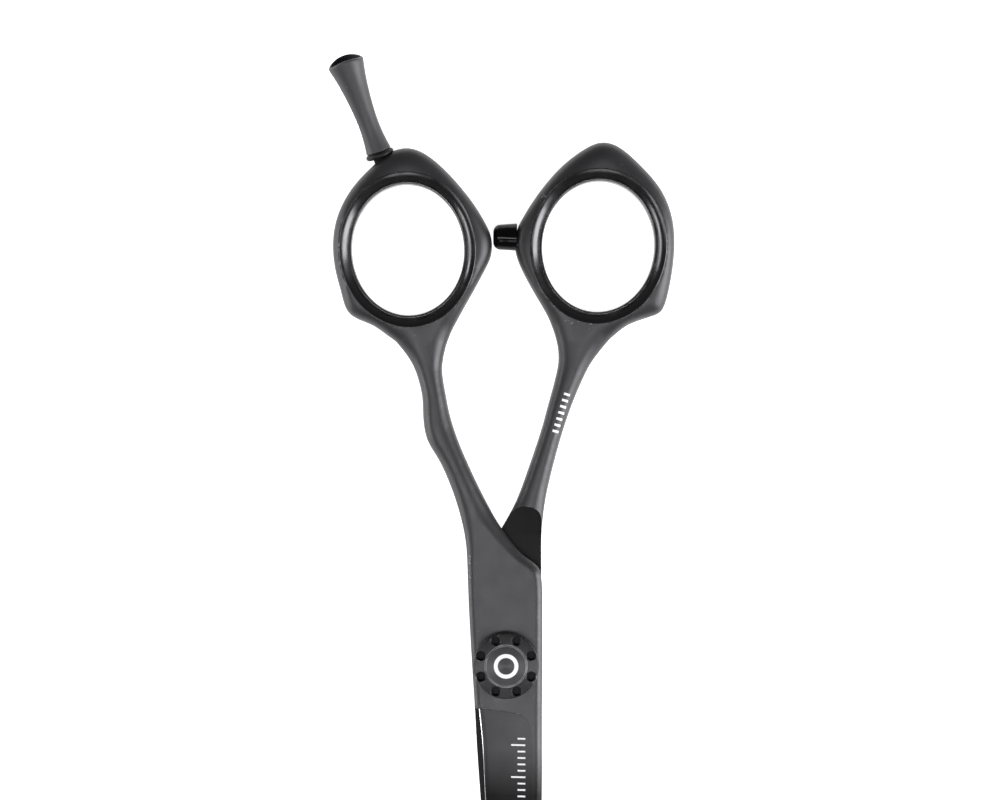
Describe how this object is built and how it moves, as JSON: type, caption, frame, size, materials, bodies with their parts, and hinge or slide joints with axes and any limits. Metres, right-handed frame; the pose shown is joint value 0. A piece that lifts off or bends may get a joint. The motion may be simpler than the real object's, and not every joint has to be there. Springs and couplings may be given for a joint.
{
  "type": "hair cutting shears",
  "caption": "Closed hair cutting shears with a screw-in finger rest, rubber ring inserts, a bumper and an adjusting knob at the pivot.",
  "frame": {"origin": "where the pivot axis meets the plane that the shears lie on, at the back of the pivot bolt's head", "axes": "+Y from the pivot towards the finger rings, -Y towards the blade tips, +Z out of the adjusting knob, +X towards the thumb ring"},
  "size_m": [0.054, 0.1538, 0.0086],
  "materials": {
    "coated_steel": "satin black coating",
    "rest_coating": "matte dark grey coating",
    "knob_coating": "satin black coating",
    "cap_coating": "satin black coating with a plain printed ring",
    "insert_rubber": "glossy black rubber",
    "bare_steel": "turned and ground",
    "bush_bronze": "turned bronze",
    "washer_plastic": "plain sheet"
  },
  "bodies": {
    "finger_side": {"finger_half": "coated_steel", "finger_ring_insert": "insert_rubber", "bearing_bush": "bush_bronze", "inner_glide_washer": "washer_plastic", "outer_glide_washer": "washer_plastic", "disc_spring": "bare_steel"},
    "thumb_side": {"thumb_half": "coated_steel", "thumb_ring_insert": "insert_rubber", "bumper": "insert_rubber", "pivot_bolt": "bare_steel"},
    "detent": {"detent_disc": "bare_steel"},
    "knob": {"adjusting_knob": "knob_coating", "knob_cap": "cap_coating"},
    "rest_seal": {"finger_rest_o_ring": "insert_rubber"},
    "rest": {"finger_rest": "rest_coating", "finger_rest_stud": "bare_steel"}
  },
  "joints": [
    {"name": "shears_pivot", "type": "hinge", "parent": "finger_side", "child": "thumb_side", "pos_m": [0, 0, 0], "axis": [0, 0, -1], "range_deg": [0, 90]},
    {"name": "knob_rise", "type": "slide", "parent": "thumb_side", "child": "detent", "axis": [0, 0, 1], "range_m": [-0.00004, 0.00116], "deforming": ["disc_spring"]},
    {"name": "knob_turn", "type": "hinge", "parent": "detent", "child": "knob", "pos_m": [0, 0, 0], "axis": [0, 0, 1], "range_deg": [-30, 840]},
    {"name": "rest_rise", "type": "slide", "parent": "finger_side", "child": "rest_seal", "axis": [-0.3459, 0.9251, 0.1564], "range_m": [0, 0.00247]},
    {"name": "rest_turn", "type": "hinge", "parent": "rest_seal", "child": "rest", "pos_m": [-0.01954, 0.07918, 0.0033], "axis": [-0.3459, 0.9251, 0.1564], "range_deg": [0, 1980]}
  ],
  "couplings": [
    {"joint": "knob_turn", "follows": "knob_rise", "rad_per_m": 12566},
    {"joint": "rest_turn", "follows": "rest_rise", "rad_per_m": 13963}
  ]
}
